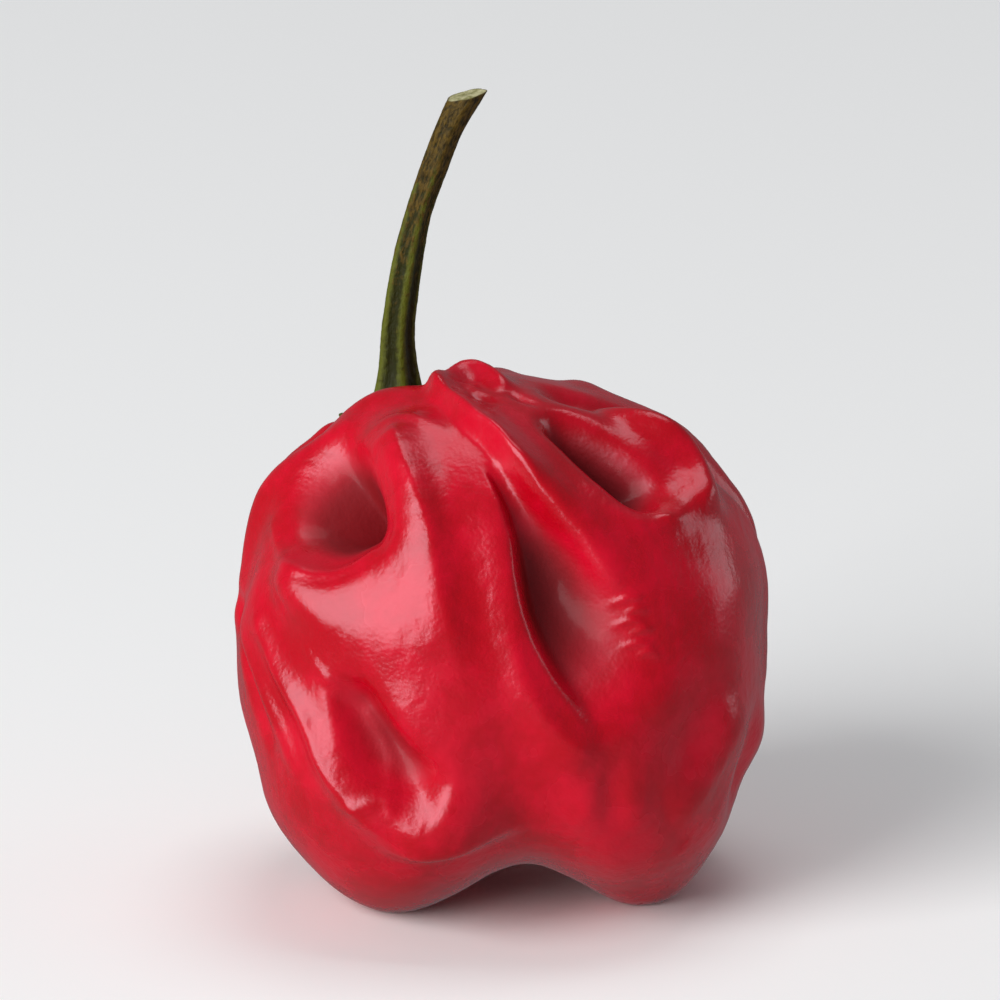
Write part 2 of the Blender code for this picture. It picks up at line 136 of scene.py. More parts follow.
bm = bmesh.new()
bmesh.ops.create_circle(bm, cap_ends=True, segments=FLOOR_SIDES, radius=FLOOR_RADIUS)
floor_mesh = bpy.data.meshes.new("floor")
bm.to_mesh(floor_mesh)
bm.free()
floor = bpy.data.objects.new("floor", floor_mesh)
bpy.context.scene.collection.objects.link(floor)
paper = bpy.data.materials.new("paper")
paper.use_nodes = True
paper_shader = paper.node_tree.nodes["Principled BSDF"]
paper_shader.inputs["Base Color"].default_value = FLOOR_COLOUR
paper_shader.inputs["Roughness"].default_value = FLOOR_ROUGHNESS
paper_shader.inputs["Specular IOR Level"].default_value = FLOOR_SHINE
floor_mesh.materials.append(paper)
floor.visible_glossy = False
print("floor of", 2 * FLOOR_RADIUS, "m, and", len(bpy.data.lights), "soft lights")

# %% [markdown]
# ## The plain pod
#
# Before it buckles, a habanero is a squat lantern. It could be a sphere with a lattice round it, but the
# photo gives its outline, and a formula keeps to that exactly: the outline is a smooth closed curve
# through a few radii, and the sections towards the front and back are rounded squares. All sizes from
# here on are in millimetres from the pod's middle, and are turned into metres where a mesh is made.

# %% The plain pod's radius in any direction
FRONT_REACH = 19.6
BACK_REACH = 19.2
SQUARENESS = 2.35
UNDERSIDE = 19.2
UNDERSIDE_SHARPNESS = 14

# The sides that folds are drawn on: compass angle and height of the eye, in degrees
FRONT = (0, 17)
RIGHT = (90, 15)
BACK = (180, 15)
LEFT = (270, 15)
UNDER = (0, -90)

# The pod's outline as the front side sees it: angle from the right, in degrees, and radius
OUTLINE = [
    (0, 19.9), (14, 20.5), (26, 20.7), (38, 20.1), (50, 20.1), (62, 19.5), (76, 19.4), (90, 19.6),
    (106, 19.8), (121, 20.2), (134, 20.3), (145, 20.8), (155, 20.2), (167, 19.6), (181, 19.9), (194, 20.3),
    (207, 20.8), (218, 22.0), (230, 22.6), (241, 22.8), (251, 22.1), (259, 20.3), (268, 18.4), (277, 18.0),
    (287, 19.4), (297, 21.7), (306, 22.6), (317, 22.5), (329, 21.5), (338, 21.4), (349, 20.2),
]


def unit(vectors):
    """Vectors of the same directions, one long."""
    return vectors / np.linalg.norm(vectors, axis=-1, keepdims=True)


def axes_of(side):
    """The right, up and towards-the-eye directions of a side."""
    compass, height = (math.radians(angle) for angle in side)
    right = np.array([math.cos(compass), math.sin(compass), 0.0])
    level = np.array([math.sin(compass), -math.cos(compass), 0.0])
    eye = math.cos(height) * level + math.sin(height) * np.array([0.0, 0.0, 1.0])
    return right, np.cross(eye, right), eye


def outline_radius(angles):
    """The outline's radius at any angle, as a smooth closed curve through its points."""
    known = np.array(OUTLINE, float)
    at = np.concatenate([known[-2:, 0] - 360, known[:, 0], known[:3, 0] + 360])
    radius = np.concatenate([known[-2:, 1], known[:, 1], known[:3, 1]])
    slope = np.gradient(radius, at)
    angles = np.mod(angles - known[0, 0], 360) + known[0, 0]
    i = np.clip(np.searchsorted(at, angles, side="right") - 1, 0, len(at) - 2)
    step = at[i + 1] - at[i]
    t = (angles - at[i]) / step
    return (
        (2 * t**3 - 3 * t**2 + 1) * radius[i]
        + (t**3 - 2 * t**2 + t) * step * slope[i]
        + (3 * t**2 - 2 * t**3) * radius[i + 1]
        + (t**3 - t**2) * step * slope[i + 1]
    )


def plain_radius(directions):
    """The pod's radius before any fold: its front outline, rounded off towards the front and back."""
    right, up, eye = axes_of(FRONT)
    across, over, towards = directions @ right, directions @ up, directions @ eye
    outline = outline_radius(np.degrees(np.arctan2(over, across)))
    reach = np.where(towards > 0, FRONT_REACH, BACK_REACH)
    flat = np.hypot(across, over)
    radius = ((flat / outline) ** SQUARENESS + (np.abs(towards) / reach) ** SQUARENESS) ** (-1 / SQUARENESS)
    lowered = np.maximum(-directions[:, 2], 0.0) * radius / UNDERSIDE
    return radius * (1 + lowered**UNDERSIDE_SHARPNESS) ** (-1 / UNDERSIDE_SHARPNESS)


print("plain pod is", round(2 * float(plain_radius(np.array([[1.0, 0, 0]]))[0]), 1), "mm wide")

# %% [markdown]
# ## How a fold is made
#
# Each fold, ridge, dimple or swelling is drawn as a short path on one side of the pod. A soft brush in a
# sculpting tool would do, but it leaves no sizes behind. Here a row of small swellings runs along the
# path instead, and each lifts or presses the skin near it. A fold may lean, so that it is steeper on one
# side, and its power makes it a sharp crease (below 2) or a socket with a clear rim (above 2).

# %% Fold tools
Fold = namedtuple("Fold", "side path width height lean power")
# How far apart a fold's swellings are and how far each reaches, in widths
FOLD_STEP = 0.6
FADED = 2.8
SPAN_STEPS = 8
SETTLING_ROUNDS = 12


def fold(side, path, width, height, lean=0.0, power=2.0):
    """A fold whose width and height may each be one number, or three along its path."""
    three = [value if isinstance(value, tuple) else (value,) * 3 for value in (width, height)]
    return Fold(side, path, *three, lean, power)


def on_plain_pod(side, marks):
    """Marks drawn on a side (right, up), set on the plain pod. One past the edge is put on the edge."""
    right, up, eye = axes_of(side)
    flat = np.outer([m[0] for m in marks], right) + np.outer([m[1] for m in marks], up)
    reach = np.linalg.norm(flat, axis=1)
    depth = np.full(len(flat), FRONT_REACH)
    for _ in range(SETTLING_ROUNDS):
        spot = flat + depth[:, None] * eye
        radius = plain_radius(unit(spot))
        depth = np.sqrt(np.maximum(radius**2 - reach**2, 0.0))
    spot = flat + depth[:, None] * eye
    return unit(spot) * plain_radius(unit(spot))[:, None]


def smooth_path(marks, step):
    """A curve through the marks, as even steps no longer than the given one."""
    ends = np.vstack([2 * marks[0] - marks[1], marks, 2 * marks[-1] - marks[-2]])
    fine = []
    for a, b, c, d in zip(ends, ends[1:], ends[2:], ends[3:]):
        for t in np.linspace(0, 1, SPAN_STEPS, endpoint=False):
            bend = (2 * a - 5 * b + 4 * c - d) * t**2 + (3 * b - a - 3 * c + d) * t**3
            fine.append(0.5 * (2 * b + (c - a) * t + bend))
    fine = np.array([*fine, marks[-1]])
    lengths = np.concatenate([[0.0], np.cumsum(np.linalg.norm(np.diff(fine, axis=0), axis=1))])
    at = np.linspace(0, lengths[-1], math.ceil(lengths[-1] / step) + 1)
    return np.stack([np.interp(at, lengths, column) for column in fine.T], axis=1)


def fold_height(spots, one):
    """How far a fold lifts each spot of the plain pod: the sum of a row of swellings along its path."""
    path = smooth_path(on_plain_pod(one.side, one.path), min(one.width) * FOLD_STEP)
    share = np.linspace(0, 1, len(path))
    width = np.interp(share, [0, 0.5, 1], one.width)
    crowd = np.exp(-np.sum((path[:, None] - path) ** 2, axis=2) / width**2).sum(axis=1)
    height = np.interp(share, [0, 0.5, 1], one.height) / crowd
    rightward = np.cross(unit(np.gradient(path, axis=0)), unit(path))
    raised = np.zeros(len(spots))
    for centre, right, tall, wide in zip(path, rightward, height, width):
        reach = FADED * wide * (1 + abs(one.lean))
        near = np.flatnonzero(np.abs(spots - centre).max(axis=1) < reach)
        gap = spots[near] - centre
        across = gap @ right
        leaning = wide * np.where(across > 0, 1 + one.lean, 1 - one.lean)
        along = np.maximum(np.sum(gap**2, axis=1) - across**2, 0) / wide**2
        raised[near] += tall * np.exp(-(along ** (one.power / 2)) - (np.abs(across) / leaning) ** one.power)
    return raised


# %% [markdown]
# ## The folds of the front
#
# These are the forms that make this pepper itself: a round hollow under the left shoulder, a long hollow
# under the right one, the deep groove between two lips that runs from the stem to the lower right, and
# the ridges over the left foot. Each mark of a path is right and up of the pod's middle, as the
# photograph shows it. A fold's numbers are its width, its height (below zero for a hollow), its lean and
# its power.

# %% Main folds of the front
FRONT_FOLDS = [
    # the round hollow under the left shoulder, steep on its right, and the brow below it
    fold(FRONT, [(-12.6, 12.2), (-11.2, 8.9)], 3.4, -2.6, 0.3, 4.0),
    fold(FRONT, [(-12.0, 12.0), (-10.9, 9.6)], 3.0, -4.6, 0.35, 1.4),
    fold(FRONT, [(-15.4, 4.2), (-12.2, 1.2), (-8.6, 1.0), (-5.2, -1.8)],
         (2.4, 3.1, 3.6), (2.5, 0.6, 0.1), -0.2),
    # the ridge from the stem past the hollow, and the shallow valley beside it
    fold(FRONT, [(-7.6, 14.4), (-6.2, 11.0), (-4.9, 7.0), (-4.3, 3.6), (-3.5, 0.0)],
         (3.0, 3.2, 3.4), (1.9, 1.3, 1.0), 0.3, 1.3),
    fold(FRONT, [(-5.2, 13.6), (-4.0, 9.1), (-2.9, 4.5), (-1.7, -0.1)], 1.6, (-0.3, -0.35, -0.2)),
    # the long deep groove from the stem to the lower right, steep under its left lip
    fold(FRONT, [(-0.6, 10.6), (0.0, 7.0), (0.6, 3.4), (1.1, -0.6), (2.0, -3.8), (3.6, -6.6), (6.1, -8.8)],
         (1.0, 1.3, 1.4), (0.1, 0.35, 0.8), 0.2),
    fold(FRONT, [(-0.4, 11.8), (0.9, 9.8), (2.2, 6.8), (3.4, 2.2), (5.0, -1.6), (7.0, -4.8)],
         (0.8, 3.0, 3.2), (-0.4, -3.9, -1.3), -0.6, 3.2),
    fold(FRONT, [(-4.9, 18.2), (-2.4, 16.1), (-0.4, 14.5), (1.5, 12.3), (3.8, 9.6), (6.1, 7.2), (7.9, 4.7)],
         (0.8, 1.3, 1.5), (0.8, 1.8, 0.7), -0.4),
    # the long hollow under the right shoulder, with the rim round its outer end
    fold(FRONT, [(4.4, 15.8), (7.8, 13.5), (10.9, 10.9)], (1.3, 1.9, 2.0), (-2.6, -4.4, -3.8), -0.1, 2.2),
    fold(FRONT, [(7.2, 17.4), (10.6, 15.3), (13.9, 12.4), (14.8, 9.8)],
         (1.3, 1.6, 1.8), (0.6, 2.2, 1.4), -0.2),
    fold(FRONT, [(14.6, 10.2), (12.6, 8.9), (9.8, 8.6)], 1.4, (0.3, 0.9, 0.3)),
    # the left foot: its crest, the dent beside it, the swelling above the foot, and the outer creases
    fold(FRONT, [(-17.6, 1.3), (-16.6, -2.4), (-14.6, -5.8), (-12.9, -9.7), (-9.0, -13.8)],
         (1.3, 1.0, 1.9), (0.6, 0.9, 1.3), 0.1, 1.4),
    fold(FRONT, [(-11.5, -4.6), (-9.5, -9.2), (-6.0, -11.8)],
         (1.6, 2.0, 1.9), (-1.6, -2.8, -1.6), -0.2, 2.7),
    fold(FRONT, [(-7.0, -15.4), (-1.4, -14.4)], (2.2, 2.8, 2.8), (1.3, 1.9, 1.8), -0.4, 2.4),
    fold(FRONT, [(-17.7, -1.0), (-15.9, -6.5), (-13.6, -11.0)], 1.1, (-0.1, -0.4, -0.2)),
    fold(FRONT, [(-18.8, 0.8), (-17.5, -4.6), (-15.4, -10.1)], 0.9, (0.1, 0.4, 0.2)),
    fold(FRONT, [(-19.3, 2.7), (-18.8, -1.9), (-17.2, -8.3)], 0.8, (-0.4, -0.8, -0.3)),
    # the right flank and foot, with the puckers above the blossom end
    fold(FRONT, [(16.8, 2.6), (16.4, -1.4)], 4.2, 0.6),
    fold(FRONT, [(15.4, -5.4), (14.0, -9.0)], 2.4, -0.7),
    fold(FRONT, [(17.6, -6.0), (16.0, -9.6), (13.8, -12.9)], 2.0, (0.3, 0.6, 0.4)),
    fold(FRONT, [(5.8, -10.2), (6.6, -12.2), (6.2, -14.2)], 1.3, (0.1, 0.4, 0.2)),
    fold(FRONT, [(8.6, -9.4), (8.2, -11.5), (8.4, -13.6)], 0.9, (-0.1, -0.3, -0.1)),
    fold(FRONT, [(10.2, -10.2), (10.0, -12.4), (10.4, -14.4)], 1.2, (0.1, 0.4, 0.2)),
    fold(FRONT, [(12.1, -11.5), (12.4, -13.4), (13.6, -15.8)], 0.8, (-0.1, -0.35, -0.2)),
    # the small knot of skin beside the stem, and the rim in front of the stem
    fold(FRONT, [(-4.4, 17.8), (-3.2, 18.9), (-1.4, 19.2), (0.2, 18.5)], 1.1, (0.5, 1.3, 0.6)),
    fold(FRONT, [(-13.0, 15.4), (-9.6, 17.2), (-6.0, 18.0)], 1.8, (0.5, 1.2, 0.5)),
    fold(FRONT, [(-9.2, 15.2), (-6.8, 16.0), (-4.4, 15.2)], 0.8, (0.1, 0.4, 0.1)),
]
print(len(FRONT_FOLDS), "main folds on the front")

# %% [markdown]
# ## The folds of the other sides
#
# The photograph shows one side only. The others get folds of the same kinds and sizes, since a habanero
# buckles all round: valleys that run down from the stem, ridges beside them, and a few round hollows.

# %% Folds of the right, back, left and underside
RIGHT_FOLDS = [
    fold(RIGHT, [(-1.0, 17.5), (1.5, 10.0), (3.5, 2.0), (3.0, -7.0)],
         (1.6, 2.4, 2.0), (-1.2, -2.8, -0.9), 0.3),
    fold(RIGHT, [(-4.0, 17.0), (-2.0, 9.0), (-0.5, 1.0), (-2.0, -8.0)], 1.6, (0.1, 0.5, 0.3)),
    fold(RIGHT, [(5.0, 15.0), (6.5, 8.0), (7.0, 0.0)], 2.0, (0.4, 1.0, 0.5)),
    fold(RIGHT, [(10.5, 11.0), (11.5, 7.5)], 2.6, -2.6, -0.3),
    fold(RIGHT, [(12.5, 0.0), (10.5, -6.0), (7.5, -11.0)], 1.5, (-0.4, -1.6, -0.6), 0.3),
    fold(RIGHT, [(-8.0, -10.0), (-6.0, -15.0)], 2.2, -0.9),
    fold(RIGHT, [(4.0, -18.0), (3.0, -14.0)], 3.0, -1.6),
]

BACK_FOLDS = [
    fold(BACK, [(4.6, 15.5), (3.4, 10.5), (0.4, 4.0), (-2.0, -4.0), (-2.6, -9.0)],
         (1.3, 2.4, 1.7), (-1.4, -3.4, -0.8), -0.4),
    fold(BACK, [(8.0, 14.0), (6.6, 9.5), (3.6, 3.0), (1.4, -5.0)], 1.5, (0.7, 1.2, 0.5)),
    fold(BACK, [(0.6, 15.5), (-0.4, 11.0), (-3.2, 4.5)], 1.7, (0.5, 1.0, 0.4)),
    fold(BACK, [(-8.6, 11.0), (-10.6, 7.4)], 2.9, -3.0, 0.3),
    fold(BACK, [(-6.0, 15.5), (-6.2, 9.0), (-8.0, 2.0)], 1.5, (0.4, 0.9, 0.4)),
    fold(BACK, [(13.5, 9.0), (12.5, 2.0), (10.0, -5.0)], (1.6, 2.0, 1.4), (-0.8, -2.2, -0.6), 0.3),
    fold(BACK, [(10.6, -8.0), (7.4, -12.5)], 1.8, -1.6),
    fold(BACK, [(-12.5, -4.0), (-9.0, -11.0)], 1.6, (-0.4, -1.5, -0.9)),
    fold(BACK, [(4.6, -8.0), (3.6, -14.0)], 2.8, 0.8),
]

LEFT_FOLDS = [
    fold(LEFT, [(-1.0, 14.5), (-2.5, 7.0), (-1.5, -1.0), (1.0, -8.0)],
         (1.5, 2.3, 1.7), (-1.0, -2.6, -0.8), 0.3),
    fold(LEFT, [(2.5, 13.5), (1.5, 5.0), (2.5, -3.0)], 1.5, (0.5, 1.0, 0.5)),
    fold(LEFT, [(-5.0, 15.0), (-6.2, 7.0), (-5.6, -2.0)], 1.7, (0.5, 0.9, 0.5)),
    fold(LEFT, [(-10.2, 8.6), (-10.6, 4.8)], 2.5, -2.2, -0.3),
    fold(LEFT, [(-11.5, -3.5), (-8.5, -10.0)], 1.4, (-0.4, -1.4, -0.6)),
    fold(LEFT, [(7.5, 1.5), (8.5, -4.0)], 2.6, 0.7),
    fold(LEFT, [(-1.0, -17.5), (0.5, -13.5)], 2.8, -1.5),
]

UNDER_FOLDS = [
    fold(UNDER, [(0.6, 0.6), (-6.0, -2.6), (-13.0, -5.6)], (2.6, 3.2, 3.0), (-1.4, -2.8, -1.8)),
    fold(UNDER, [(6.6, -1.4), (9.6, -7.0), (12.6, -12.6)], (2.4, 3.0, 3.0), (-1.4, -2.6, -1.6)),
    fold(UNDER, [(3.2, 4.6), (2.2, 12.6)], 2.8, -0.2),
    fold(UNDER, [(-0.6, 3.6), (-3.6, 5.6)], 1.4, -0.6),
    fold(UNDER, [(7.4, 3.0), (10.0, 4.6)], 1.4, -0.6),
]
OTHER_FOLDS = RIGHT_FOLDS + BACK_FOLDS + LEFT_FOLDS + UNDER_FOLDS
print(len(OTHER_FOLDS), "folds on the other sides")

# %% [markdown]
# ## Fine creases
#
# The solid model's faces are too large for these. The groove's right lip has a thin crest, the skin is
# pinched into short crescents where that lip runs out, and the knot of skin beside the stem is a small
# loop. Each is a fold like the others, only narrower.

# %% Fine creases of the front
FINE_FOLDS = [
    # the thin crest of the groove's right lip
    fold(FRONT, [(-4.6, 17.8), (-2.7, 16.5), (-1.6, 15.2), (-0.4, 14.5), (0.7, 12.9), (1.7, 12.2),
                 (2.7, 10.6), (3.9, 9.7), (4.9, 8.3), (6.2, 7.3), (7.1, 5.7), (7.9, 4.8), (9.0, 3.6)],
         0.6, (0.3, 0.3, 0.15)),
    # the rim under the round hollow, and the fainter line outside it on the right
    fold(FRONT, [(-17.2, 8.4), (-16.2, 5.8), (-13.6, 4.6), (-11.6, 4.9), (-9.8, 6.4)],
         0.5, (0.15, 0.35, 0.2)),
    fold(FRONT, [(-8.9, 13.4), (-8.0, 9.6), (-8.6, 6.4)], 0.4, (-0.1, -0.25, -0.1)),
    # the curled rim at the outer end of the long hollow
    fold(FRONT, [(13.4, 8.4), (12.4, 8.6), (11.1, 9.3)], 0.4, (0.05, 0.22, 0.05)),
    # the loop of skin beside the stem
    fold(FRONT, [(-4.7, 17.5), (-4.0, 18.5), (-2.6, 19.1), (-0.8, 19.0), (0.4, 18.3)],
         0.5, (0.1, 0.35, 0.2)),
    fold(FRONT, [(-3.5, 18.1), (-2.4, 18.4), (-1.4, 18.0)], 0.45, (0.1, 0.3, 0.1)),
    fold(FRONT, [(-3.0, 17.4), (-1.8, 17.7), (-0.6, 17.3)], 0.6, (-0.1, -0.45, -0.2)),
    fold(FRONT, [(0.5, 18.2), (1.7, 17.6), (2.8, 17.2)], 0.5, (-0.1, -0.3, -0.1)),
    # lines beside the crest over the left foot
    fold(FRONT, [(-14.4, -1.2), (-11.9, -4.8), (-9.6, -9.2), (-7.8, -13.0)], 0.4, (0.1, 0.3, 0.15)),
    fold(FRONT, [(-11.6, -12.6), (-9.2, -12.2), (-6.2, -12.4)], 0.5, (0.1, 0.3, 0.1)),
]
# the short crescents across the end of the lip: right and up of the pod's middle
PINCHES = [(9.6, 2.8), (10.3, 2.0), (10.0, 1.1), (10.7, 0.4), (10.5, -0.6), (11.2, -1.2)]
PINCH_LENGTHS = (1.7, 1.1)
PINCH_SAG = 0.35
PINCH_WIDTH = 0.28
PINCH_HEIGHT = (0.1, 0.28, 0.12)
for i, (x, y) in enumerate(PINCHES):
    half = PINCH_LENGTHS[i % 2] / 2
    crescent = [(x - half, y - PINCH_SAG), (x, y), (x + half, y - PINCH_SAG * (i % 3) / 2)]
    FINE_FOLDS.append(fold(FRONT, crescent, PINCH_WIDTH, PINCH_HEIGHT))
print(len(FINE_FOLDS), "fine creases")

# %% [markdown]
# ## Feet, blossom end and stem seat
#
# The pod stands on three low lobes. Each swells just far enough to reach the ground, so its height is
# worked out and not drawn. The blossom end is a hollow underneath, and the calyx lies in a seat between
# the shoulders, with short pleats running out from under it.

# %% Feet, hollow and seat, and the pod's whole surface
FEET = [(-8.2, -7.2), (10.4, -4.4), (0.6, 10.4)]
FOOT_WIDTH = 5.0
FOOT_FLAT = 0.25
BLOSSOM_END = (3.6, -1.6)
BLOSSOM_HOLLOW_WIDTH = 4.4
BLOSSOM_HOLLOW_DEPTH = 3.0
SEAT = np.array([-8.0, 7.0, 36.0])
SEAT_WIDTH = 4.0
SEAT_DEPTH = 4.0
PLEATS = 9
PLEAT_HEIGHT = 0.3
PLEAT_RING = 5.2
PLEAT_LENGTH = 1.7
PLEAT_DRIFT = 0.9

seat_out = unit(SEAT - POD_CENTRE)
seat_first = unit(np.cross([0.0, 1.0, 0.0], seat_out))
seat_second = np.cross(seat_out, seat_first)
plain_seat = seat_out * plain_radius(seat_out[None])[0]


def swelling(spots, centre, width, height):
    """How far a round swelling lifts each spot."""
    return height * np.exp(-np.sum((spots - centre) ** 2, axis=1) / width**2)


def pleats(spots):
    """How far the short pleats in a ring round the seat lift each spot."""
    across = spots - plain_seat
    angle = np.arctan2(across @ seat_second, across @ seat_first)
    band = np.exp(-(((np.linalg.norm(across, axis=1) - PLEAT_RING) / PLEAT_LENGTH) ** 2))
    return PLEAT_HEIGHT * band * np.cos(PLEATS * angle + PLEAT_DRIFT * np.sin(2 * angle))


def plain_ground(x, y):
    """The spot of the plain pod on the way from its middle to a point of the ground."""
    way = unit(np.array([x, y, -POD_CENTRE[2]]))
    return way * plain_radius(way[None])[0]


def folded_radius(directions):
    """The pod's radius with all its folds, before its feet."""
    radius = plain_radius(directions)
    spots = directions * radius[:, None]
    for one in FRONT_FOLDS + OTHER_FOLDS + FINE_FOLDS:
        radius = radius + fold_height(spots, one)
    blossom_end = plain_ground(*BLOSSOM_END)
    radius = radius + swelling(spots, blossom_end, BLOSSOM_HOLLOW_WIDTH, -BLOSSOM_HOLLOW_DEPTH)
    radius = radius + swelling(spots, plain_seat, SEAT_WIDTH, -SEAT_DEPTH)
    return radius + pleats(spots)


def pod_radius(directions):
    """The folded pod's radius in each direction, with each foot swollen until it reaches the ground."""
    radius = folded_radius(directions)
    spots = directions * plain_radius(directions)[:, None]
    to_ground = np.array([[x, y, -POD_CENTRE[2]] for x, y in FEET])
    reach = np.linalg.norm(to_ground, axis=1) + FOOT_FLAT
    for foot, swell in zip(FEET, reach - folded_radius(unit(to_ground))):
        radius = radius + swelling(spots, plain_ground(*foot), FOOT_WIDTH, swell)
    return radius


print(len(FEET), "feet and", PLEATS, "pleats round the stem's seat")

# %% [markdown]
# ## The pod's mesh
#
# A globe's triangles crowd at its poles, where the finest pleats would turn lumpy. A cube with a square
# grid on each side, blown up to a ball, has faces of nearly one size everywhere. Each corner then moves
# out to the pod's surface. How deep each corner lies in a fold is kept as an attribute, for the shade
# painted into the skin's hollows and for its shine.

# %% Pod mesh
POD_GRID = 126
GROUND = 0.0


def even_ball(grid):
    """A ball made from a cube's six square grids, with faces of nearly one size."""
    bm = bmesh.new()
    bmesh.ops.create_cube(bm, size=2)
    bmesh.ops.subdivide_edges(bm, edges=bm.edges[:], cuts=grid - 1, use_grid_fill=True)
    for vert in bm.verts:
        vert.co = [math.tan(c * math.pi / 4) for c in vert.co]
        vert.co.normalize()
    return bm


bm = even_ball(POD_GRID)
bmesh.ops.triangulate(bm, faces=bm.faces[:], quad_method="ALTERNATE")
bmesh.ops.recalc_face_normals(bm, faces=bm.faces[:])
skin_mesh = bpy.data.meshes.new("pod_skin")
bm.to_mesh(skin_mesh)
bm.free()

directions = np.empty(len(skin_mesh.vertices) * 3)
skin_mesh.vertices.foreach_get("co", directions)
directions = unit(directions.reshape(-1, 3))
radius = pod_radius(directions)
spots = POD_CENTRE + directions * radius[:, None]
spots[:, 2] = np.maximum(spots[:, 2], GROUND)
skin_mesh.vertices.foreach_set("co", ((spots + POD_AXIS) * MM).ravel())
depth = skin_mesh.attributes.new("fold_depth", "FLOAT", "POINT")
depth.data.foreach_set("value", plain_radius(directions) - radius)
skin_mesh.shade_smooth()
pod_skin = bpy.data.objects.new("pod_skin", skin_mesh)
bpy.context.scene.collection.objects.link(pod_skin)
print("pod of", len(skin_mesh.polygons), "triangles,", round(float(np.ptp(spots[:, 0])), 1), "mm wide")

# %% [markdown]
# ## Writing node trees as sums
#
# The skin's relief and the stem are made with Geometry Nodes. A tree could be drawn by hand, but a script
# keeps it readable and repeatable. This small writer adds one node for each step, links what the step is
# given and hands back its result, so a tree reads like a line of arithmetic.

# %% Node writer
class Sums:
    """Writes a node tree in short steps. Each step adds a node and returns its result."""

    def __init__(self, tree):
        self.tree = tree

    def node(self, kind, *values, result=0, **settings):
        """A node with these settings; a value is linked if it is a result, and set if it is a number."""
        node = self.tree.nodes.new(kind)
        for name, value in settings.items():
            setattr(node, name, value)
        for socket, value in zip([s for s in node.inputs if s.enabled], values):
            if isinstance(value, bpy.types.NodeSocket):
                self.tree.links.new(value, socket)
            elif value is not None:
                socket.default_value = value
        return [s for s in node.outputs if s.enabled][result]

    def sum(self, operation, *values):
        return self.node("ShaderNodeMath", *values, operation=operation)

    def vector(self, operation, *values):
        return self.node("ShaderNodeVectorMath", *values, operation=operation)

    def parts(self, x, y, z):
        return self.node("ShaderNodeCombineXYZ", x, y, z)

    def between(self, value, low, high, start=0.0, end=1.0, soft=True):
        """A value that goes from start to end while another goes from low to high."""
        kind = "SMOOTHSTEP" if soft else "LINEAR"
        return self.node("ShaderNodeMapRange", value, low, high, start, end, interpolation_type=kind)

    def curve(self, value, marks):
        """A value read from a smooth curve through a few marks."""
        node = self.tree.nodes.new("ShaderNodeFloatCurve")
        line = node.mapping.curves[0]
        for mark in marks[1:-1]:
            line.points.new(*mark)
        line.points[0].location, line.points[-1].location = marks[0], marks[-1]
        node.mapping.update()
        self.tree.links.new(value, node.inputs["Value"])
        return node.outputs["Value"]

    def noise(self, place, scale, detail=2.0, roughness=0.5, seed=0.0):
        """Soft noise round zero."""
        raw = self.node("ShaderNodeTexNoise", place, seed, scale, detail, roughness, noise_dimensions="4D")
        return self.sum("SUBTRACT", raw, 0.5)


def geometry_tree(name, sockets):
    """A Geometry Nodes tree with named inputs, and its inputs by name."""
    tree = bpy.data.node_groups.new(name, "GeometryNodeTree")
    tree.interface.new_socket("Geometry", in_out="OUTPUT", socket_type="NodeSocketGeometry")
    tree.interface.new_socket("Geometry", in_out="INPUT", socket_type="NodeSocketGeometry")
    for label, kind in sockets.items():
        tree.interface.new_socket(label, in_out="INPUT", socket_type="NodeSocket" + kind)
    source = tree.nodes.new("NodeGroupInput")
    return tree, {socket.name: socket for socket in source.outputs}


def close_tree(tree, geometry, material):
    """Ends a tree: what it made becomes one smooth, real mesh with its material."""
    write = Sums(tree)
    geometry = write.node("GeometryNodeSetShadeSmooth", geometry)
    geometry = write.node("GeometryNodeRealizeInstances", geometry)
    geometry = write.node("GeometryNodeSetMaterial", geometry, None, material)
    tree.links.new(geometry, tree.nodes.new("NodeGroupOutput").inputs[0])


def run_tree(obj, tree, values):
    """Runs a tree on an object and keeps what it made as the object's plain mesh."""
    modifier = obj.modifiers.new(tree.name, "NODES")
    modifier.node_group = tree
    for socket in tree.interface.items_tree:
        if socket.in_out == "INPUT" and socket.name in values:
            modifier[socket.identifier] = values[socket.name]
    obj.update_tag()
    evaluated = obj.evaluated_get(bpy.context.evaluated_depsgraph_get())
    made = bpy.data.meshes.new_from_object(evaluated)
    obj.modifiers.remove(modifier)
    obj.data = made
    made.name = obj.name
    return made


print("node writer ready")

# %% [markdown]
# ## The skin's finish
#
# Ripe skin is a deep carmine under a clear waxy film. The film is a coat with its own low roughness, and
# the red below it is softly mottled. Noise on the object's own coordinates gives the mottling. How deep
# the skin lies in a fold comes from the mesh. It paints shade into the hollows as a darker red, and makes
# them duller, because little light gets into a real one and its own walls are all that it mirrors.

# %% Pod skin material
DEEP_RED = (0.37, 0.0003, 0.006, 1)
RIPE_RED = (0.49, 0.0006, 0.014, 1)
# painted shade: the dark red that deep hollows go over to
HOLLOW_SHADE_RED = (0.17, 0.0003, 0.001, 1)
SHINE_TINT = (1.0, 0.78, 0.92, 1)
MOTTLE_SCALE = 150.0
FLECK_SCALE = 900.0
PORE_SCALE = 3600.0
FLECK_SHARE = 0.3
RIPENING = (-0.16, 0.16)
# from how deep to how deep, in mm, a hollow is painted darker as shade and dulls, and what it goes from and
# to
HOLLOW_SHADING = (0.6, 3.4, 0.0, 0.9)
DULLING = (0.6, 2.6, 0.27, 0.7)
PATCHY_GLOSS = 0.16
FLECK_RELIEF = 0.06 * MM
PORE_RELIEF = 0.012 * MM
SKIN_VALUES = {
    "Specular IOR Level": 0.36, "Specular Tint": SHINE_TINT, "Coat Weight": 0.12, "Coat Roughness": 0.16,
    "Subsurface Weight": 0.06, "Subsurface Radius": (1.0, 0.12, 0.1), "Subsurface Scale": 1.2 * MM,
}


